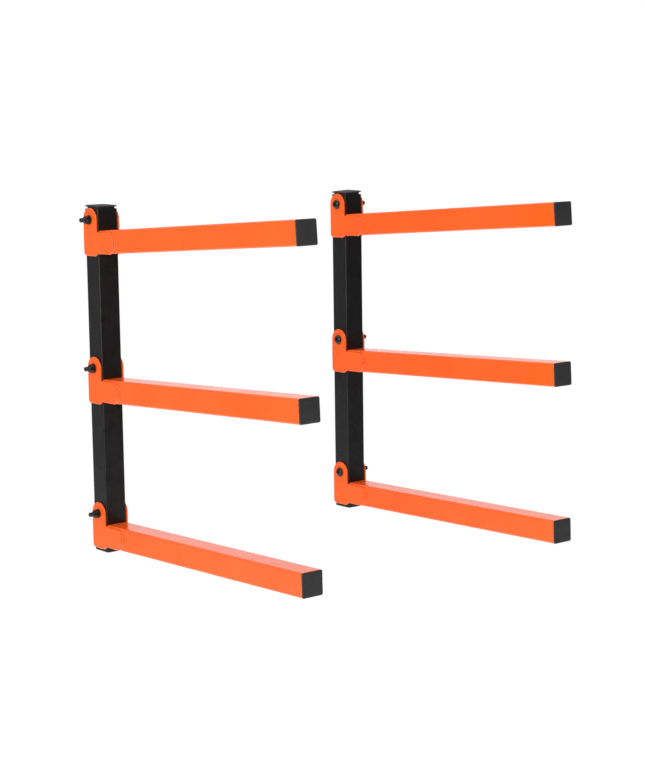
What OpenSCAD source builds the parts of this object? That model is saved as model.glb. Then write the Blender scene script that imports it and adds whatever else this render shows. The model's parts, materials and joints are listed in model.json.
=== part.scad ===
// Wall-mounted storage rack: two square-tube uprights, each with three arms that
// swing up on a pivot bolt. The arms reach out along -Y and the wall is at y = 0.
// Origin: on the wall, midway between the uprights, level with the middle arms.

/* [Layout] */
// Distance between the centre lines of the two uprights
upright_spacing = 406.4; // [200:0.2:800]
// Height from one arm to the next
arm_pitch = 190; // [150:1:400]
// Upward tilt of the top, middle and bottom arm tubes
arm_tilts = [4.5, 3, 1.5]; // [0:0.5:6]

/* [Tubes] */
// Outside width of every square tube
tube_size = 30; // [28:0.5:40]
// Wall thickness of the square tubes
tube_wall = 1.5; // [1.2:0.1:2.5]
// Outside corner radius of the square tubes
tube_corner = 2.2; // [1.8:0.1:4]
// Length of an arm tube along its underside
arm_length = 404; // [200:1:600]
// Length of an upright tube
upright_length = 442; // [440:1:1000]
// Height of the upright's top end above the top arm's centre line
upright_above_arm = 42; // [40:0.5:60]

/* [Pivot bracket] */
// Thickness of a cheek plate
cheek_thickness = 2.5; // [2:0.1:4]
// Gap between a cheek plate and the tubes beside it
cheek_gap = 0.4; // [0.3:0.05:0.8]
// Height of the pivot bolt above the arm's centre line
pivot_rise = 28.5; // [27:0.5:32]
// Radius of the rounded ear around the pivot bolt
ear_radius = 14.7; // [12:0.1:14.7]
// Distance from the wall to the centre of the cheek plate's rounded front end
lobe_forward = 52; // [46:1:70]
// Radius of the cheek plate's rounded front end
lobe_radius = 15.5; // [14:0.1:17]
// Leg length of the weld bead around the rounded front end
weld_leg = 1.3; // [1:0.1:3]

/* [Fasteners] */
// Thread diameter of the pivot bolts
bolt_diameter = 6; // [5:1:8]
// Length of a pivot bolt under its head
bolt_length = 50; // [48:1:65]
// Diameter of a wall screw hole
screw_hole = 7; // [5:0.5:9]
// Diameter of the access hole in front of a wall screw hole
access_hole = 14; // [12:0.5:18]

/* [Plugs] */
// Thickness of a plug's outer rim
plug_rim = 1.5; // [1:0.1:3]
// Height of the raised face above the rim
plug_crown = 0.8; // [0.4:0.1:1.5]
// Depth of a plug inside its tube
plug_depth = 16; // [10:1:25]
// Gap left under the rim of the upright's top plug
top_plug_lift = 2.6; // [0:0.1:5]

/* [Hidden] */
SIDES = ["left", "right"];
LEVELS = ["top", "middle", "bottom"];
UPRIGHT_PIECES = ["upright", "top_plug", "bottom_plug"];
ARM_PIECES = ["arm_tube", "cheek_plates", "weld_beads", "end_plug",
              "pivot_bolt", "lock_nut", "washer", "pivot_sleeve"];

$fn = 64;
STEEL_BLACK = [0.10, 0.10, 0.11];
ORANGE = [0.98, 0.40, 0.14];
PLASTIC_BLACK = [0.16, 0.16, 0.17];
FASTENER_BLACK = [0.08, 0.08, 0.08];
ZINC = [0.70, 0.72, 0.74];

half_tube = tube_size / 2;
tube_bore = tube_size - 2 * tube_wall;
upright_top = arm_pitch + upright_above_arm;
upright_bottom = upright_top - upright_length;
// The arm tube stops this far in front of the upright, which it rests against
stop_gap = 0.3;
// How far a cut runs past the surface that it opens
cut_margin = 1;
pivot_forward = half_tube;
// Cheek plate outline, measured from the wall and from the arm's centre line
ear_rear = pivot_forward - ear_radius;
cheek_inset = 1.5;
cheek_under_tube = 2.5;
cheek_top = half_tube - cheek_inset;
cheek_front_bottom = -cheek_top;
cheek_bottom = -half_tube - cheek_under_tube;
cheek_corner = 5;
// The underside steps up between these distances, at the upright's front face
cheek_step = [tube_size - 4, tube_size + 3];
// Faces along the pivot bolt
cheek_inner = half_tube + cheek_gap;
cheek_outer = cheek_inner + cheek_thickness;
running_gap = 0.3;
seat = cheek_outer + running_gap;
// Fits: radial gaps round the bolt, and the slack of a piece that slides into a tube
running_fit = 0.03;
clearance_fit = 0.1;
slide_fit = 0.1;
// Fastener sizes for the bolt diameter
bolt_radius = bolt_diameter / 2 - running_fit;
pivot_hole_radius = bolt_diameter / 2 + running_fit;
clearance_radius = bolt_diameter / 2 + clearance_fit;
head_radius = bolt_diameter * 1.08;
head_height = bolt_diameter * 0.82;
head_dome_radius = bolt_diameter * 1.3;
recess_length = bolt_diameter * 1.1;
recess_width = bolt_diameter * 0.18;
recess_depth = head_height * 0.55;
nut_across_flats = bolt_diameter * 5 / 3;
nut_hex_height = bolt_diameter * 0.8;
nut_height = bolt_diameter;
nut_collar_radius = nut_across_flats * 0.45;
washer_radius = bolt_diameter;
washer_height = 1.2;
sleeve_wall = 1.5;
sleeve_radius = clearance_radius + sleeve_wall;
sleeve_length = tube_bore - slide_fit;
thread_chamfer = 0.8;
// Plug body, which is slimmer than the tube's bore and held by its ribs
plug_slack = 1.4;
plug_wall = 1.6;
plug_body = tube_bore - plug_slack;
plug_rib = tube_bore - slide_fit;
plug_rib_height = 1;
plug_rib_pitch = 4;
plug_face_inset = 1.4;
// The upright's top plug is cut short above the pivot sleeve
sleeve_clearance = 1;
top_plug_depth = min(plug_depth,
    upright_above_arm + top_plug_lift - pivot_rise - sleeve_radius - sleeve_clearance);
// Weld bead: how far it runs round the lobe, and its root under the plate
weld_start = -46;
weld_end = 50;
weld_root = 0.6;
// Crown of the bead's rounded face, as shares of its leg
weld_crown = [0.7, 0.65];
// How far the lobe reaches back into the plate
lobe_overlap = 1;

function hex_radius(across_flats) = across_flats / 2 / cos(30);
function arm_height(level) = arm_pitch * (level == "top" ? 1 : level == "middle" ? 0 : -1);
function arm_tilt(level) = arm_tilts[level == "top" ? 0 : level == "middle" ? 1 : 2];

// Places a part drawn for an upright on x = 0, whose outer side is -X
module on_side(side) {
    if (side == "left") translate([-upright_spacing / 2, 0, 0]) children();
    else mirror([1, 0, 0]) translate([-upright_spacing / 2, 0, 0]) children();
}

module at_level(side, level) {
    on_side(side) translate([0, 0, arm_height(level)]) children();
}

// Turns a drawing so that its x runs out from the wall, its y runs up and it grows to -X
module from_wall() {
    rotate([90, 0, -90]) children();
}

// Turns a drawing so that it grows along an arm, starting at the upright's front face
module along_arm(level) {
    translate([0, -tube_size, 0]) rotate([90 - arm_tilt(level), 0, 0]) children();
}

// Puts the pivot bolt's axis on z, with +z to the bolt's head
module along_pivot() {
    translate([0, -pivot_forward, pivot_rise]) rotate([0, 90, 0]) children();
}

module rounded_square(size, corner) {
    inner = size - 2 * corner;
    square([size, inner], center = true);
    square([inner, size], center = true);
    for (x = [-1, 1], y = [-1, 1])
        translate([x, y] * inner / 2) circle(r = corner);
}

module square_tube(length) {
    linear_extrude(length) difference() {
        rounded_square(tube_size, tube_corner);
        rounded_square(tube_bore, tube_corner - tube_wall);
    }
}

// Push-in tube plug, with its rim's underside at z = 0 and its ribbed body below
module plug(depth) {
    linear_extrude(plug_rim) rounded_square(tube_size, tube_corner);
    linear_extrude(plug_rim + plug_crown)
        rounded_square(tube_size - 2 * plug_face_inset, tube_corner);
    difference() {
        union() {
            translate([0, 0, -depth]) linear_extrude(depth)
                rounded_square(plug_body, tube_corner);
            for (height = [-plug_rib_pitch : -plug_rib_pitch : -depth])
                translate([0, 0, height])
                    linear_extrude(plug_rib_height) rounded_square(plug_rib, tube_corner);
        }
        translate([0, 0, -depth]) linear_extrude(depth)
            square(plug_body - 2 * plug_wall, center = true);
    }
}

module upright() {
    color(STEEL_BLACK) difference() {
        translate([0, -half_tube, upright_bottom]) square_tube(upright_length);
        for (level = LEVELS) translate([0, 0, arm_height(level)]) {
            translate([0, 0, pivot_rise]) translate([0, -pivot_forward, 0]) rotate([0, 90, 0])
                cylinder(r = clearance_radius, h = tube_size + 2 * cut_margin, center = true);
            rotate([90, 0, 0])
                cylinder(d = screw_hole, h = 2 * (tube_wall + cut_margin), center = true);
            translate([0, -tube_size, 0]) rotate([90, 0, 0])
                cylinder(d = access_hole, h = 2 * (tube_wall + cut_margin), center = true);
        }
    }
}

module top_plug() {
    color(PLASTIC_BLACK)
        translate([0, -half_tube, upright_top + top_plug_lift]) plug(top_plug_depth);
}

module bottom_plug() {
    color(PLASTIC_BLACK)
        translate([0, -half_tube, upright_bottom]) mirror([0, 0, 1]) plug(plug_depth);
}

// The tube's rear end is cut square to the upright, where it comes to rest
module arm_tube(level) {
    overrun = 5;
    color(ORANGE) difference() {
        along_arm(level) translate([0, 0, -overrun]) square_tube(arm_length + overrun);
        translate([-tube_size, -tube_size - stop_gap, -tube_size])
            cube(2 * tube_size);
    }
}

module cheek_outline() {
    difference() {
        union() {
            translate([pivot_forward, pivot_rise]) circle(r = ear_radius);
            translate([ear_rear, cheek_bottom + cheek_corner])
                square([2 * ear_radius, pivot_rise - cheek_bottom - cheek_corner]);
            translate([ear_rear + cheek_corner, cheek_bottom + cheek_corner])
                circle(r = cheek_corner);
            polygon([
                [ear_rear + cheek_corner, cheek_bottom],
                [cheek_step[0], cheek_bottom],
                [cheek_step[1], cheek_front_bottom],
                [lobe_forward, cheek_front_bottom],
                [lobe_forward, cheek_top],
                [ear_rear + cheek_corner, cheek_top]]);
            intersection() {
                translate([lobe_forward, 0]) circle(r = lobe_radius);
                translate([lobe_forward - lobe_overlap, cheek_front_bottom])
                    square([lobe_radius + lobe_overlap, cheek_top - cheek_front_bottom]);
            }
        }
        translate([pivot_forward, pivot_rise]) circle(r = pivot_hole_radius);
    }
}

// Two plates that straddle the upright and are welded to the sides of the arm tube
module cheek_plates() {
    color(ORANGE) for (side = [0, 1]) mirror([side, 0, 0])
        translate([-cheek_inner, 0, 0]) from_wall()
            linear_extrude(cheek_thickness) cheek_outline();
}

// Fillet weld between the rounded front end of each plate and the tube's side
module weld_beads() {
    color(ORANGE) for (side = [0, 1]) mirror([side, 0, 0])
        from_wall() translate([lobe_forward, 0, 0]) rotate([0, 0, weld_start])
            rotate_extrude(angle = weld_end - weld_start) polygon([
                [lobe_radius - weld_root, half_tube],
                [lobe_radius + weld_leg, half_tube],
                [lobe_radius + weld_leg * weld_crown.x, half_tube + weld_leg * weld_crown.y],
                [lobe_radius, half_tube + weld_leg],
                [lobe_radius, cheek_inner],
                [lobe_radius - weld_root, cheek_inner]]);
}

module end_plug(level) {
    color(PLASTIC_BLACK) along_arm(level) translate([0, 0, arm_length]) plug(plug_depth);
}

// Pan-head machine screw with a cross recess
module pivot_bolt() {
    color(FASTENER_BLACK) along_pivot() translate([0, 0, seat]) {
        difference() {
            rotate_extrude() intersection() {
                translate([0, head_height - head_dome_radius]) circle(r = head_dome_radius);
                square([head_radius, head_height]);
            }
            for (turn = [0, 90]) rotate([0, 0, turn])
                translate([-recess_length / 2, -recess_width / 2, head_height - recess_depth])
                    cube([recess_length, recess_width, head_height]);
        }
        translate([0, 0, thread_chamfer - bolt_length])
            cylinder(r = bolt_radius, h = bolt_length - thread_chamfer);
        translate([0, 0, -bolt_length])
            cylinder(r1 = bolt_radius - thread_chamfer, r2 = bolt_radius, h = thread_chamfer);
    }
}

// Hexagon nut with a locking collar, on the outer side of the bracket
module lock_nut() {
    color(FASTENER_BLACK) along_pivot()
        translate([0, 0, -seat - washer_height]) mirror([0, 0, 1]) difference() {
            union() {
                cylinder(r = hex_radius(nut_across_flats), h = nut_hex_height, $fn = 6);
                cylinder(r = nut_collar_radius, h = nut_height);
            }
            translate([0, 0, -cut_margin])
                cylinder(r = pivot_hole_radius, h = nut_height + 2 * cut_margin);
        }
}

module washer() {
    color(FASTENER_BLACK) along_pivot()
        translate([0, 0, -seat - washer_height]) difference() {
            cylinder(r = washer_radius, h = washer_height);
            translate([0, 0, -cut_margin])
                cylinder(r = clearance_radius, h = washer_height + 2 * cut_margin);
        }
}

// Spacer round the bolt inside the upright, which keeps the tube from being crushed
module pivot_sleeve() {
    color(ZINC) along_pivot() difference() {
        cylinder(r = sleeve_radius, h = sleeve_length, center = true);
        cylinder(r = clearance_radius, h = sleeve_length + 2 * cut_margin, center = true);
    }
}

for (side = SIDES) {
    on_side(side) upright();
    on_side(side) top_plug();
    on_side(side) bottom_plug();
}
for (side = SIDES) for (level = LEVELS) {
    name = str(side, "_", level);
    at_level(side, level) arm_tube(level);
    at_level(side, level) cheek_plates();
    at_level(side, level) weld_beads();
    at_level(side, level) end_plug(level);
    at_level(side, level) pivot_bolt();
    at_level(side, level) lock_nut();
    at_level(side, level) washer();
    at_level(side, level) pivot_sleeve();
}
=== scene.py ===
import json
import math
import random

import bmesh
import bpy
from mathutils import Matrix, Vector


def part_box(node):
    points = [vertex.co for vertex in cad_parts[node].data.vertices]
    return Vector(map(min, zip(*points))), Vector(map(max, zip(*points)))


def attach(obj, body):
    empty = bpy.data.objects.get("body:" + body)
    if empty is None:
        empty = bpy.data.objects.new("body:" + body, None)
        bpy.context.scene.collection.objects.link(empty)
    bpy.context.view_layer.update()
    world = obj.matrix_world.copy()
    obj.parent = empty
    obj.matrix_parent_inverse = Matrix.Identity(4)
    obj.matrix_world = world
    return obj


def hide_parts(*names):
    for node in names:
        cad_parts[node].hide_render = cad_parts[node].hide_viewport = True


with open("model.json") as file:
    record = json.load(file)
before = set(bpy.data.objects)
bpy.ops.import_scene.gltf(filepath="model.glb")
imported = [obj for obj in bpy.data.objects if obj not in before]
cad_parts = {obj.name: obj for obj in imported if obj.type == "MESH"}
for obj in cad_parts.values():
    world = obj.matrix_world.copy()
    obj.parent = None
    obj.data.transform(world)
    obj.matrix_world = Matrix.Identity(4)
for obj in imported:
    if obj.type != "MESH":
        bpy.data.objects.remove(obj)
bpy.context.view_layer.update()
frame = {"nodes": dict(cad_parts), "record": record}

MM = 0.001
SIDES = ("left", "right")
LEVELS = ("top", "middle", "bottom")
rng = random.Random(7)

# Dimensions that the pieces share with the solids, in millimetres and degrees
TUBE = 30.0
TUBE_WALL = 1.5
ARM_LENGTH = 404.0
ARM_TILT = {"top": 4.5, "middle": 3.0, "bottom": 1.5}
PIVOT_RISE = 28.5
TOP_PLUG_LIFT = 2.6
LOBE_FORWARD = 52.0
LOBE_RADIUS = 15.5
BOLT_SEAT = 18.2
BOLT_LENGTH = 50.0
THREAD_LENGTH = 22.0
THREAD_PITCH = 1.0
WASHER_HEIGHT = 1.2
SHANK_RADIUS = 2.97
HEAD_RADIUS = 6.48
HEAD_HEIGHT = 4.92
HEAD_DOME = 7.8
WELD_START = -46.0
WELD_END = 50.0
# A little under the solid bead's leg, which has no ripples
WELD_LEG = 1.25
# Depths of the plugs in their tubes; the top one ends above the pivot sleeve
PLUG_DEPTH = 16.0
TOP_PLUG_DEPTH = 10.2

joints = {j["child"]: j for j in frame["record"]["behaviour"]["joints"]}


def pivot(side, level):
    """Pivot bolt's centre on the upright's centre plane, in metres."""
    return Vector(joints[f"{side}_{level}_arm"]["pos_m"])


def outward(side):
    """Direction away from the rack's middle, where the nuts are."""
    return -1.0 if side == "left" else 1.0


# ---------------------------------------------------------------- materials


class Shader:
    """A small helper that adds nodes to one Principled material."""

    def __init__(self, name):
        self.material = bpy.data.materials.new(name)
        self.material.use_nodes = True
        self.tree = self.material.node_tree
        self.tree.nodes.clear()
        self.bsdf = self.add("ShaderNodeBsdfPrincipled")
        out = self.add("ShaderNodeOutputMaterial")
        self.link(self.bsdf.outputs["BSDF"], out.inputs["Surface"])
        self.coords = self.add("ShaderNodeTexCoord").outputs["Object"]
        self.normal = None

    def add(self, kind, **settings):
        node = self.tree.nodes.new(kind)
        for key, value in settings.items():
            setattr(node, key, value)
        return node

    def link(self, source, target):
        self.tree.links.new(source, target)

    def noise(self, scale, detail=2.0, roughness=0.5, distortion=0.0, stretch=None):
        node = self.add("ShaderNodeTexNoise")
        node.inputs["Scale"].default_value = scale
        node.inputs["Detail"].default_value = detail
        node.inputs["Roughness"].default_value = roughness
        node.inputs["Distortion"].default_value = distortion
        source = self.coords
        if stretch:
            mapping = self.add("ShaderNodeMapping")
            mapping.inputs["Scale"].default_value = stretch
            self.link(source, mapping.inputs["Vector"])
            source = mapping.outputs["Vector"]
        self.link(source, node.inputs["Vector"])
        return node.outputs["Fac"]

    def ramp(self, source, stops, interpolation="LINEAR"):
        node = self.add("ShaderNodeValToRGB")
        node.color_ramp.interpolation = interpolation
        elements = node.color_ramp.elements
        while len(elements) < len(stops):
            elements.new(0.5)
        for element, (position, colour) in zip(elements, stops):
            element.position = position
            element.color = (*colour, 1.0)
        self.link(source, node.inputs["Fac"])
        return node.outputs["Color"]

    def remap(self, source, low, high, from_low=0.0, from_high=1.0):
        node = self.add("ShaderNodeMapRange")
        node.inputs["From Min"].default_value = from_low
        node.inputs["From Max"].default_value = from_high
        node.inputs["To Min"].default_value = low
        node.inputs["To Max"].default_value = high
        self.link(source, node.inputs["Value"])
        return node.outputs["Result"]

    def blend(self, factor, first, second, mode="MIX"):
        node = self.add("ShaderNodeMix", data_type="RGBA", blend_type=mode)
        self.link(factor, node.inputs["Factor"])
        self.link(first, node.inputs[6])
        self.link(second, node.inputs[7])
        return node.outputs[2]

    def bump(self, height, distance, strength=1.0):
        """Stacks another bump layer; distance is the full height in metres."""
        node = self.add("ShaderNodeBump")
        node.inputs["Strength"].default_value = strength
        node.inputs["Distance"].default_value = distance
        self.link(height, node.inputs["Height"])
        if self.normal:
            self.link(self.normal, node.inputs["Normal"])
        self.normal = node.outputs["Normal"]

    def edges(self, radius):
        """0 on flat stretches, up to 1 along sharp and rounded outer edges."""
        bevel = self.add("ShaderNodeBevel", samples=4)
        bevel.inputs["Radius"].default_value = radius
        geometry = self.add("ShaderNodeNewGeometry")
        dot = self.add("ShaderNodeVectorMath", operation="DOT_PRODUCT")
        self.link(bevel.outputs["Normal"], dot.inputs[0])
        self.link(geometry.outputs["True Normal"], dot.inputs[1])
        return self.remap(dot.outputs["Value"], 1.0, 0.0, 0.80, 0.995)

    def finish(self, colour, roughness, **sockets):
        self.link(colour, self.bsdf.inputs["Base Color"])
        self.link(roughness, self.bsdf.inputs["Roughness"])
        if self.normal:
            self.link(self.normal, self.bsdf.inputs["Normal"])
            self.link(self.normal, self.bsdf.inputs["Coat Normal"])
        for key, value in sockets.items():
            self.bsdf.inputs[key.replace("_", " ")].default_value = value
        return self.material


def orange_powder_coat():
    """Glossy powder coat: soft orange peel, faint tone drift and film thickness."""
    s = Shader("orange_powder_coat")
    drift = s.noise(14.0, detail=3.0)
    tone = s.ramp(drift, ((0.30, (0.89, 0.107, 0.0070)), (0.70, (0.95, 0.123, 0.0110))))
    rough = s.remap(s.noise(60.0, detail=4.0), 0.17, 0.25, 0.3, 0.7)
    s.bump(s.noise(420.0, detail=2.0, roughness=0.45), 0.000022)
    s.bump(s.noise(1900.0, detail=1.0), 0.000004)
    return s.finish(tone, rough, Coat_Weight=0.25, Coat_Roughness=0.08)


def black_powder_coat():
    """Satin black powder coat with a fine texture and a little handling dust."""
    s = Shader("black_powder_coat")
    drift = s.noise(22.0, detail=4.0)
    colour = s.ramp(drift, ((0.30, (0.0046, 0.0046, 0.0049)), (0.72, (0.0082, 0.0081, 0.0082))))
    rough = s.remap(s.noise(90.0, detail=5.0), 0.26, 0.36, 0.3, 0.7)
    s.bump(s.noise(500.0, detail=2.0, roughness=0.5), 0.000025)
    s.bump(s.noise(2200.0, detail=1.0), 0.000006)
    return s.finish(colour, rough, Specular_IOR_Level=0.38)


def black_plastic():
    """Injection-moulded plastic: spark-eroded grain, faint flow marks and bloom."""
    s = Shader("black_plastic")
    flow = s.noise(45.0, detail=4.0, distortion=0.6)
    colour = s.ramp(flow, ((0.28, (0.020, 0.020, 0.0205)), (0.74, (0.033, 0.033, 0.034))))
    rough = s.remap(s.noise(160.0, detail=4.0), 0.55, 0.70, 0.3, 0.7)
    s.bump(s.noise(2400.0, detail=2.0, roughness=0.6), 0.00002)
    return s.finish(colour, rough, Specular_IOR_Level=0.38)


def black_steel():
    """Black-oxide fasteners: oily dark film, rubbed brighter along the edges."""
    s = Shader("black_steel")
    film = s.noise(260.0, detail=5.0)
    oxide = s.ramp(film, ((0.30, (0.009, 0.0085, 0.0085)), (0.72, (0.022, 0.021, 0.021))))
    bare = s.ramp(film, ((0.30, (0.10, 0.095, 0.09)), (0.72, (0.22, 0.21, 0.20))))
    rubbed = s.add("ShaderNodeMath", operation="MULTIPLY")
    s.link(s.edges(0.00035), rubbed.inputs[0])
    s.link(s.remap(s.noise(700.0, detail=3.0), 0.0, 0.85, 0.42, 0.62), rubbed.inputs[1])
    colour = s.blend(rubbed.outputs["Value"], oxide, bare)
    rough = s.remap(s.noise(420.0, detail=4.0), 0.16, 0.30, 0.3, 0.7)
    s.bump(s.noise(1500.0, detail=3.0), 0.000006)
    return s.finish(colour, rough, Metallic=0.45)


def zinc_steel():
    """Bright zinc plating: cool spangled tone with a turned grain."""
    s = Shader("zinc_steel")
    spangle = s.noise(320.0, detail=4.0)
    colour = s.ramp(spangle, ((0.30, (0.52, 0.54, 0.57)), (0.72, (0.74, 0.76, 0.78))))
    rough = s.remap(s.noise(500.0, detail=3.0), 0.22, 0.38, 0.3, 0.7)
    s.bump(s.noise(900.0, detail=2.0, stretch=(12.0, 1.0, 1.0)), 0.000008)
    return s.finish(colour, rough, Metallic=1.0)


MATERIALS = {
    "orange_powder_coat": orange_powder_coat(),
    "black_powder_coat": black_powder_coat(),
    "black_plastic": black_plastic(),
    "black_steel": black_steel(),
    "zinc_steel": zinc_steel(),
}

# ---------------------------------------------------------------- mesh helpers


def place(origin, out, up):
    """Matrix that takes millimetres with z along out and y near up into the frame."""
    z = Vector(out).normalized()
    x = Vector(up).cross(z).normalized()
    y = z.cross(x)
    rotation = Matrix((x, y, z)).transposed().to_4x4()
    return Matrix.Translation(origin) @ rotation @ Matrix.Scale(MM, 4)


def add_piece(name, bm, matrix, slot, body, node, sharp):
    """Places a finished mesh and gives it its body, its slot and the node it replaces."""
    bmesh.ops.transform(bm, matrix=matrix, verts=bm.verts)
    bmesh.ops.recalc_face_normals(bm, faces=bm.faces)
    mesh = bpy.data.meshes.new(name)
    bm.to_mesh(mesh)
    bm.free()
    mesh.polygons.foreach_set("use_smooth", [True] * len(mesh.polygons))
    mesh.set_sharp_from_angle(angle=math.radians(sharp))
    piece = bpy.data.objects.new(name, mesh)
    bpy.context.scene.collection.objects.link(piece)
    mesh.materials.append(MATERIALS[slot])
    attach(piece, body)
    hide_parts(node)


def skin(bm, rings, loop=False):
    """Joins equal rings with quads, and gives back their rows of vertices."""
    rows = [[bm.verts.new(point) for point in ring] for ring in rings]
    count = len(rows[0])
    pairs = list(zip(rows, rows[1:]))
    if loop:
        pairs.append((rows[-1], rows[0]))
    for first, second in pairs:
        for i in range(count):
            k = (i + 1) % count
            bm.faces.new((first[i], first[k], second[k], second[i]))
    return rows


def build(name, rings, matrix, slot, body, node, loop=False, sharp=40.0):
    """Skins a list of equal rings, closes both ends or joins them, and places it."""
    bm = bmesh.new()
    rows = skin(bm, rings, loop)
    count = len(rows[0])
    if not loop:
        for row in (rows[0], rows[-1]):
            centre = sum((v.co for v in row), Vector()) / count
            hub = bm.verts.new(centre)
            for i in range(count):
                bm.faces.new((row[i], row[(i + 1) % count], hub))
    add_piece(name, bm, matrix, slot, body, node, sharp)


def round_ring(radius, z, count=64):
    """Ring whose radius may depend on the angle, and whose height on the radius."""
    ring = []
    for i in range(count):
        angle = 2 * math.pi * i / count
        r = radius(angle) if callable(radius) else radius
        ring.append((r * math.cos(angle), r * math.sin(angle), z(r) if callable(z) else z))
    return ring


def square_ring(half, corner, z, steps=8):
    """Ring of a square with round corners."""
    corner = min(corner, half * 0.98)
    points = []
    for quarter in range(4):
        turn = math.pi / 2 * quarter
        for i in range(steps + 1):
            angle = turn + math.pi / 2 * i / steps
            cx = (half - corner) * math.copysign(1, math.cos(turn + math.pi / 4))
            cy = (half - corner) * math.copysign(1, math.sin(turn + math.pi / 4))
            points.append((cx + corner * math.cos(angle), cy + corner * math.sin(angle), z))
    return points


# ---------------------------------------------------------------- plugs

# Share of the tube's half width, height and corner radius of each ring of a plug's face
PLUG_FACE = (
    (0.970, 0.00, 1.9), (0.990, 0.08, 2.1), (1.000, 0.28, 2.2), (1.000, 0.85, 2.2),
    (0.995, 1.15, 2.2), (0.978, 1.48, 2.2), (0.950, 1.76, 2.3), (0.912, 1.94, 2.4),
    (0.880, 2.00, 2.4), (0.866, 1.98, 2.4), (0.850, 2.02, 2.5), (0.800, 2.12, 2.7),
    (0.680, 2.19, 3.0), (0.500, 2.25, 3.0), (0.280, 2.28, 2.6), (0.080, 2.30, 1.0),
)


def plug(name, matrix, depth, body, node):
    """Push-in plug: pillowed face, rounded rim, barbed hollow skirt."""
    half = TUBE / 2
    bore = half - TUBE_WALL
    skirt_gap = 0.7
    barb_gap = 0.05
    skirt_wall = 1.6
    barb_pitch = 4.0
    skirt = bore - skirt_gap
    barb = bore - barb_gap
    inside = skirt - skirt_wall
    rings = [square_ring(0.8, 0.6, -1.2), square_ring(inside - 0.8, 1.2, -1.2)]
    rings += [square_ring(inside, 1.2, -2.0), square_ring(inside, 1.2, -depth)]
    rings += [square_ring(skirt - 0.3, 1.4, -depth), square_ring(skirt, 1.6, -depth + 0.4)]
    height = -depth + 0.4
    for step in range(int(depth // barb_pitch), 0, -1):
        foot = -barb_pitch * step
        if foot > height:
            rings.append(square_ring(skirt, 1.6, foot))
        rings.append(square_ring(barb - 0.1, 1.6, foot + 0.55))
        rings.append(square_ring(barb, 1.6, foot + 0.75))
        rings.append(square_ring(barb, 1.6, foot + 0.95))
        rings.append(square_ring(skirt, 1.6, foot + 1.0))
    rings.append(square_ring(skirt, 1.6, -0.05))
    rings += [square_ring(half * share, corner, z) for share, z, corner in PLUG_FACE]
    build(name, rings, matrix, "black_plastic", body, node, sharp=50.0)


# ---------------------------------------------------------------- fasteners


def thread_radius(z):
    """Radius of an M6 thread at this height, for each angle."""
    depth = 0.55

    def radius(angle):
        phase = (z / THREAD_PITCH - angle / (2 * math.pi)) % 1.0
        tooth = min(1.0, max(0.0, abs(phase - 0.5) * 2.6 - 0.15))
        return SHANK_RADIUS - depth * tooth

    return radius


def head_height(radius):
    """Height of the head's dome at this distance from its axis."""
    return HEAD_HEIGHT - HEAD_DOME + math.sqrt(HEAD_DOME ** 2 - radius ** 2)


def pivot_bolt(name, matrix, body, node):
    """Pan head with a cross recess, plain shank and rolled thread."""
    arm = 3.3
    half_width = 0.62
    core = 1.15
    recess_rim = 4.3
    spin = rng.uniform(0, math.pi / 2)

    def cross(scale):
        def radius(angle):
            turn = (angle + spin + math.pi / 4) % (math.pi / 2) - math.pi / 4
            flank = half_width / max(abs(math.sin(turn)), 1e-6)
            return scale * max(core, min(arm / math.cos(turn), flank))
        return radius

    def spread(share):
        inner = cross(1.1)
        return lambda angle: inner(angle) * (1 - share) + recess_rim * share

    count = 144
    end = -BOLT_LENGTH
    point_length = 0.9
    # The rings run from the recess's floor over the dome and rim to the thread's end
    rings = [round_ring(cross(0.25), 2.0, count), round_ring(cross(0.62), 2.4, count)]
    rings += [round_ring(cross(0.95), 3.5, count), round_ring(cross(1.04), head_height, count)]
    rings += [round_ring(spread(t), head_height, count) for t in (0.0, 0.35, 0.7, 1.0)]
    rings += [round_ring(r, head_height, count) for r in (4.9, 5.45, 5.9, 6.15)]
    rim = ((-0.12, 1.62), (-0.03, 1.40), (0.0, 1.10), (0.0, 0.35), (-0.07, 0.12), (-0.22, 0.0))
    rings += [round_ring(HEAD_RADIUS + inset, z, count) for inset, z in rim]
    rings.append(round_ring(3.30, 0.0, count))
    rings += [round_ring(3.02, -0.25, count), round_ring(SHANK_RADIUS, -0.60, count)]
    thread_start = end + THREAD_LENGTH
    rings.append(round_ring(SHANK_RADIUS, thread_start + 0.5, count))
    rings_per_turn = 8
    steps = int(THREAD_LENGTH / THREAD_PITCH * rings_per_turn)
    for i in range(steps):
        z = thread_start - THREAD_LENGTH * i / steps
        limit = SHANK_RADIUS * min(1.0, (z - end) / point_length * 0.30 + 0.70)
        shape = thread_radius(z)
        rings.append(round_ring(lambda a: min(shape(a), limit), z, count))
    rings += [round_ring(2.02, end, count), round_ring(0.4, end, count)]
    build(name, rings, matrix, "black_steel", body, node, sharp=55.0)


def lock_nut(name, matrix, body, node):
    """Hexagon nut with chamfered corners and a rolled locking collar."""
    flat = 5.0
    spin = rng.uniform(0, math.pi / 3)

    def hexagon(limit):
        def radius(angle):
            turn = (angle + spin) % (math.pi / 3) - math.pi / 6
            return min(flat / math.cos(turn), limit)
        return radius

    count = 96
    profile = (
        (4.85, 0.00), (5.10, 0.10), (5.45, 0.28), (5.70, 0.45), (5.80, 0.70),
        (5.80, 4.00), (5.62, 4.30), (5.35, 4.55), (5.00, 4.74), (4.62, 4.84),
    )
    collar = (
        (4.52, 4.90), (4.50, 5.40), (4.42, 5.68), (4.24, 5.88),
        (3.95, 6.00), (3.50, 6.00), (3.22, 5.90), (3.10, 5.70),
    )
    rings = [round_ring(hexagon(r), z, count) for r, z in profile]
    rings += [round_ring(r, z, count) for r, z in collar]
    rings.append(round_ring(3.04, 5.40, count))
    rings.append(round_ring(3.04, 0.40, count))
    rings.append(round_ring(3.40, 0.00, count))
    build(name, rings, matrix, "black_steel", body, node, loop=True, sharp=30.0)


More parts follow.
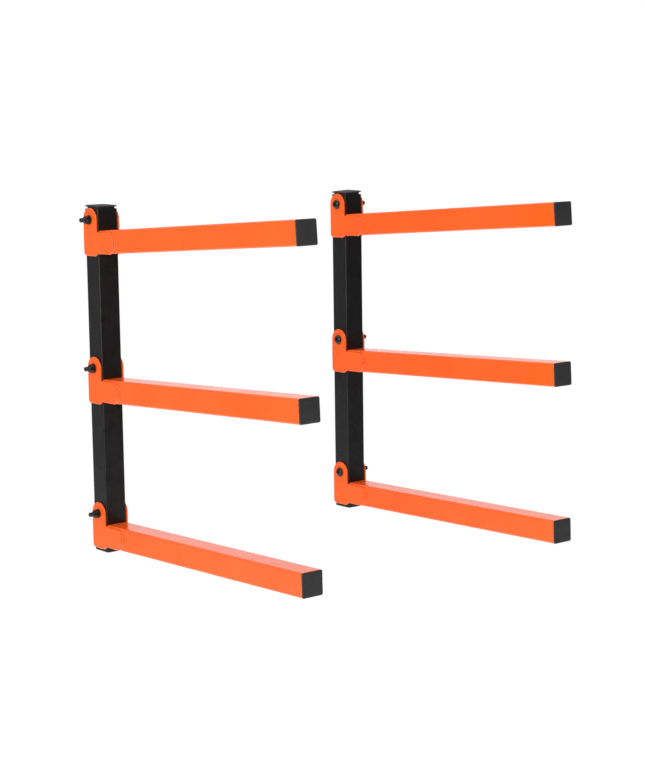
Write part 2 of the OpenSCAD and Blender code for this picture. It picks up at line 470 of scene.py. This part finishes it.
def washer(name, matrix, body, node):
    """Stamped washer: one edge rolled over, the other slightly burred."""
    profile = (
        (3.20, 0.00), (5.70, 0.00), (5.92, 0.08), (6.00, 0.30), (6.00, 0.85),
        (5.94, 1.05), (5.80, 1.16), (5.60, 1.20), (3.35, 1.20), (3.12, 1.05), (3.10, 0.15),
    )
    rings = [round_ring(r, z, 72) for r, z in profile]
    build(name, rings, matrix, "black_steel", body, node, loop=True, sharp=45.0)


# ---------------------------------------------------------------- welds


def weld_rings(x_sign, wobble):
    """Cross-sections of a rippled fillet bead round a plate's front end."""
    rings = []
    arc = math.radians(WELD_END - WELD_START) * LOBE_RADIUS
    steps = 120
    ripple_pitch = 1.3
    fade_length = 2.4
    for i in range(steps + 1):
        share = i / steps
        run = arc * share
        angle = math.radians(WELD_START + (WELD_END - WELD_START) * share)
        ripple = abs(math.sin(math.pi * run / ripple_pitch + wobble))
        taper = min(1.0, 0.35 + 0.65 * math.sqrt(min(run, arc - run) / fade_length))
        drift = 1 + 0.05 * math.sin(run * 0.9 + wobble * 3) + 0.03 * math.sin(run * 2.3)
        leg = WELD_LEG * taper * drift * (0.96 + 0.05 * ripple)
        section = [(-0.45, -0.25), (leg, -0.05)]
        for k in range(1, 6):
            turn = math.pi / 2 * k / 6
            bulge = 1.05 - 0.05 * ripple
            section.append((leg * math.cos(turn) ** bulge, leg * math.sin(turn) ** bulge))
        section += [(0.02, leg), (-0.45, leg - 0.2)]
        ring = []
        for radial, height in section:
            reach = LOBE_RADIUS + radial
            x = x_sign * (TUBE / 2 + height)
            ring.append((x, -LOBE_FORWARD - reach * math.cos(angle), reach * math.sin(angle)))
        rings.append(ring)
    return rings


def weld_beads(side, level):
    """Both beads of an arm as one piece."""
    node = f"{side}_{level}_weld_beads"
    centre = pivot(side, level)
    origin = Vector((centre.x, 0.0, centre.z - PIVOT_RISE * MM))
    matrix = Matrix.Translation(origin) @ Matrix.Scale(MM, 4)
    bm = bmesh.new()
    for x_sign in (-1, 1):
        rows = skin(bm, weld_rings(x_sign, rng.uniform(0, math.pi)))
        for row in (rows[0], rows[-1]):
            bm.faces.new(row)
    add_piece(f"{node}_rippled", bm, matrix, "orange_powder_coat", f"{side}_{level}_arm",
              node, sharp=60.0)


# ---------------------------------------------------------------- solids kept from CAD


def smooth_group():
    """Geometry group that shades every face smooth."""
    group = bpy.data.node_groups.new("shade_smooth", "GeometryNodeTree")
    group.interface.new_socket("Geometry", in_out="INPUT", socket_type="NodeSocketGeometry")
    group.interface.new_socket("Geometry", in_out="OUTPUT", socket_type="NodeSocketGeometry")
    source = group.nodes.new("NodeGroupInput")
    shade = group.nodes.new("GeometryNodeSetShadeSmooth")
    sink = group.nodes.new("NodeGroupOutput")
    group.links.new(source.outputs["Geometry"], shade.inputs["Geometry"])
    group.links.new(shade.outputs["Geometry"], sink.inputs["Geometry"])
    return group


SMOOTH = smooth_group()


def soften(node, width):
    """Rounds a solid's sharp edges with modifiers, as a coating does."""
    solid = frame["nodes"][node]
    weld = solid.modifiers.new("weld", "WELD")
    weld.merge_threshold = 0.000002
    merge = solid.modifiers.new("merge_flats", "DECIMATE")
    merge.decimate_type = "DISSOLVE"
    merge.angle_limit = math.radians(0.5)
    bevel = solid.modifiers.new("round_edges", "BEVEL")
    bevel.width = width * MM
    bevel.segments = 3
    bevel.limit_method = "ANGLE"
    bevel.angle_limit = math.radians(40)
    bevel.use_clamp_overlap = False
    bevel.miter_outer = "MITER_ARC"
    shade = solid.modifiers.new("shade", "NODES")
    shade.node_group = SMOOTH
    normals = solid.modifiers.new("normals", "WEIGHTED_NORMAL")
    normals.weight = 100
    normals.keep_sharp = False


def coat(node, slot):
    """Gives a solid kept from CAD the procedural material of its slot."""
    for holder in frame["nodes"][node].material_slots:
        holder.material = MATERIALS[slot]


# Widths of the rounding, in millimetres
TUBE_EDGE = 0.35
PLATE_EDGE = 0.8
SLEEVE_EDGE = 0.2

for side in SIDES:
    coat(f"{side}_upright", "black_powder_coat")
    soften(f"{side}_upright", TUBE_EDGE)
    for level in LEVELS:
        coat(f"{side}_{level}_arm_tube", "orange_powder_coat")
        coat(f"{side}_{level}_cheek_plates", "orange_powder_coat")
        coat(f"{side}_{level}_pivot_sleeve", "zinc_steel")
        soften(f"{side}_{level}_arm_tube", TUBE_EDGE)
        soften(f"{side}_{level}_cheek_plates", PLATE_EDGE)
        soften(f"{side}_{level}_pivot_sleeve", SLEEVE_EDGE)

# ---------------------------------------------------------------- pieces

# The top caps aren't pushed home. Degrees by which each leans along x and y
CAP_LEAN = {"left": (0.2, -0.6), "right": (-2.2, -0.8)}

for side in SIDES:
    x = pivot(side, "top").x
    y = -TUBE / 2 * MM
    low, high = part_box(f"{side}_upright")
    lean_x, lean_y = (math.sin(math.radians(v)) for v in CAP_LEAN[side])
    top = place((x, y, high[2] + TOP_PLUG_LIFT * MM), (lean_x, lean_y, 1), (0, 1, 0))
    plug(f"{side}_top_cap", top, TOP_PLUG_DEPTH, "uprights", f"{side}_top_plug")
    bottom = place((x, y, low[2]), (0, 0, -1), (0, 1, 0))
    plug(f"{side}_bottom_cap", bottom, PLUG_DEPTH, "uprights", f"{side}_bottom_plug")

for side in SIDES:
    away = outward(side)
    for level in LEVELS:
        name = f"{side}_{level}"
        centre = pivot(side, level)
        tilt = math.radians(ARM_TILT[level])
        along = Vector((0.0, -math.cos(tilt), math.sin(tilt)))
        root = Vector((centre.x, -TUBE * MM, centre.z - PIVOT_RISE * MM))
        tip = place(root + along * ARM_LENGTH * MM, along, (0, 0, 1))
        plug(f"{name}_end_cap", tip, PLUG_DEPTH, f"{name}_arm", f"{name}_end_plug")
        head = place(centre - Vector((away * BOLT_SEAT * MM, 0, 0)), (-away, 0, 0), (0, 0, 1))
        pivot_bolt(f"{name}_bolt", head, "uprights", f"{name}_pivot_bolt")
        seat = centre + Vector((away * BOLT_SEAT * MM, 0, 0))
        washer(f"{name}_flat_washer", place(seat, (away, 0, 0), (0, 0, 1)),
               "uprights", f"{name}_washer")
        seat = seat + Vector((away * WASHER_HEIGHT * MM, 0, 0))
        lock_nut(f"{name}_nut", place(seat, (away, 0, 0), (0, 0, 1)),
                 "uprights", f"{name}_lock_nut")
        weld_beads(side, level)

# ---------------------------------------------------------------- studio


def area_light(name, location, target, size, power):
    """White rectangular lamp; places and sizes in metres, power in watts."""
    data = bpy.data.lights.new(name, "AREA")
    data.shape = "RECTANGLE"
    data.size, data.size_y = size
    data.energy = power
    lamp = bpy.data.objects.new(name, data)
    bpy.context.scene.collection.objects.link(lamp)
    lamp.location = location
    direction = Vector(target) - Vector(location)
    lamp.rotation_euler = direction.to_track_quat("-Z", "Y").to_euler()


def studio_world():
    """White backdrop for the eye, softer greys for the light that it gives."""
    world = bpy.data.worlds.new("studio")
    world.use_nodes = True
    tree = world.node_tree
    tree.nodes.clear()
    coords = tree.nodes.new("ShaderNodeTexCoord")
    split = tree.nodes.new("ShaderNodeSeparateXYZ")
    height = tree.nodes.new("ShaderNodeMapRange")
    height.inputs["From Min"].default_value = -1.0
    height.inputs["From Max"].default_value = 1.0
    ramp = tree.nodes.new("ShaderNodeValToRGB")
    stops = ((0.0, 0.40), (0.42, 0.26), (0.50, 0.20), (0.58, 0.22), (0.75, 0.55), (1.0, 0.8))
    while len(ramp.color_ramp.elements) < len(stops):
        ramp.color_ramp.elements.new(0.5)
    for element, (position, grey) in zip(ramp.color_ramp.elements, stops):
        element.position = position
        element.color = (grey, grey, grey, 1.0)
    front = tree.nodes.new("ShaderNodeMapRange")
    front.inputs["From Min"].default_value = -1.0
    front.inputs["To Min"].default_value = 0.45
    front.inputs["To Max"].default_value = 1.3
    light = tree.nodes.new("ShaderNodeBackground")
    backdrop = tree.nodes.new("ShaderNodeBackground")
    backdrop.inputs["Color"].default_value = (1.0, 1.0, 1.0, 1.0)
    path = tree.nodes.new("ShaderNodeLightPath")
    mix = tree.nodes.new("ShaderNodeMixShader")
    out = tree.nodes.new("ShaderNodeOutputWorld")
    tree.links.new(coords.outputs["Generated"], split.inputs["Vector"])
    tree.links.new(split.outputs["Z"], height.inputs["Value"])
    tree.links.new(split.outputs["Y"], front.inputs["Value"])
    tree.links.new(front.outputs["Result"], light.inputs["Strength"])
    tree.links.new(height.outputs["Result"], ramp.inputs["Fac"])
    tree.links.new(ramp.outputs["Color"], light.inputs["Color"])
    tree.links.new(path.outputs["Is Camera Ray"], mix.inputs["Fac"])
    tree.links.new(light.outputs["Background"], mix.inputs[1])
    tree.links.new(backdrop.outputs["Background"], mix.inputs[2])
    tree.links.new(mix.outputs["Shader"], out.inputs["Surface"])
    bpy.context.scene.world = world


def studio_floor(height, radius):
    """Plain pale floor, well below the rack."""
    s = Shader("studio_floor")
    tone = s.ramp(s.noise(3.0, detail=3.0), ((0.3, (0.88, 0.88, 0.88)), (0.7, (0.90, 0.90, 0.90))))
    rough = s.remap(s.noise(8.0), 0.75, 0.85)
    material = s.finish(tone, rough, Emission_Strength=0.65)
    s.bsdf.inputs["Emission Color"].default_value = (1.0, 1.0, 1.0, 1.0)
    bm = bmesh.new()
    count = 96
    rim = [bm.verts.new((radius * math.cos(2 * math.pi * i / count),
                         radius * math.sin(2 * math.pi * i / count), height))
           for i in range(count)]
    bm.faces.new(rim)
    mesh = bpy.data.meshes.new("floor")
    bm.to_mesh(mesh)
    bm.free()
    mesh.materials.append(material)
    floor = bpy.data.objects.new("floor", mesh)
    bpy.context.scene.collection.objects.link(floor)


# Floor and lamps, in metres: the lamps aim at the middle of the arms
FLOOR_HEIGHT = -1.15
FLOOR_RADIUS = 3.4
MID_ARMS = (0.0, -0.2, 0.0)
UPPER_ARMS = (0.0, -0.2, 0.1)

studio_world()
studio_floor(FLOOR_HEIGHT, FLOOR_RADIUS)
area_light("overhead", (0.1, -0.3, 2.6), MID_ARMS, (3.0, 3.0), 46.0)
area_light("key", (-3.1, -1.45, 0.9), MID_ARMS, (1.8, 2.6), 76.0)
area_light("rear_card", (2.3, 2.7, 0.33), UPPER_ARMS, (3.4, 0.85), 6.0)

# ---------------------------------------------------------------- camera


def camera(location, azimuth, elevation, roll, lens):
    """Camera that looks along +Y at azimuth 0, and down at a positive elevation."""
    azimuth, elevation, roll = (math.radians(v) for v in (azimuth, elevation, roll))
    back = Vector((math.sin(azimuth) * math.cos(elevation),
                   -math.cos(azimuth) * math.cos(elevation),
                   math.sin(elevation)))
    right = (-back).cross(Vector((0, 0, 1))).normalized()
    up = right.cross(-back)
    turned = right * math.cos(roll) + up * math.sin(roll)
    upright = up * math.cos(roll) - right * math.sin(roll)
    data = bpy.data.cameras.new("camera")
    data.lens = lens
    data.sensor_width = 36.0
    data.clip_start = 0.05
    data.clip_end = 50.0
    eye = bpy.data.objects.new("camera", data)
    bpy.context.scene.collection.objects.link(eye)
    eye.matrix_world = Matrix.Translation(location) @ Matrix(
        (turned, upright, back)).transposed().to_4x4()
    bpy.context.scene.camera = eye


# Eye point in metres, turns in degrees and focal length in millimetres
EYE = (-1.5805, -2.1612, 0.3829)
AZIMUTH = -38.962
ELEVATION = 8.625
ROLL = -0.795
LENS = 92.5

camera(EYE, AZIMUTH, ELEVATION, ROLL, LENS)
bpy.context.scene.view_settings.view_transform = "Standard"
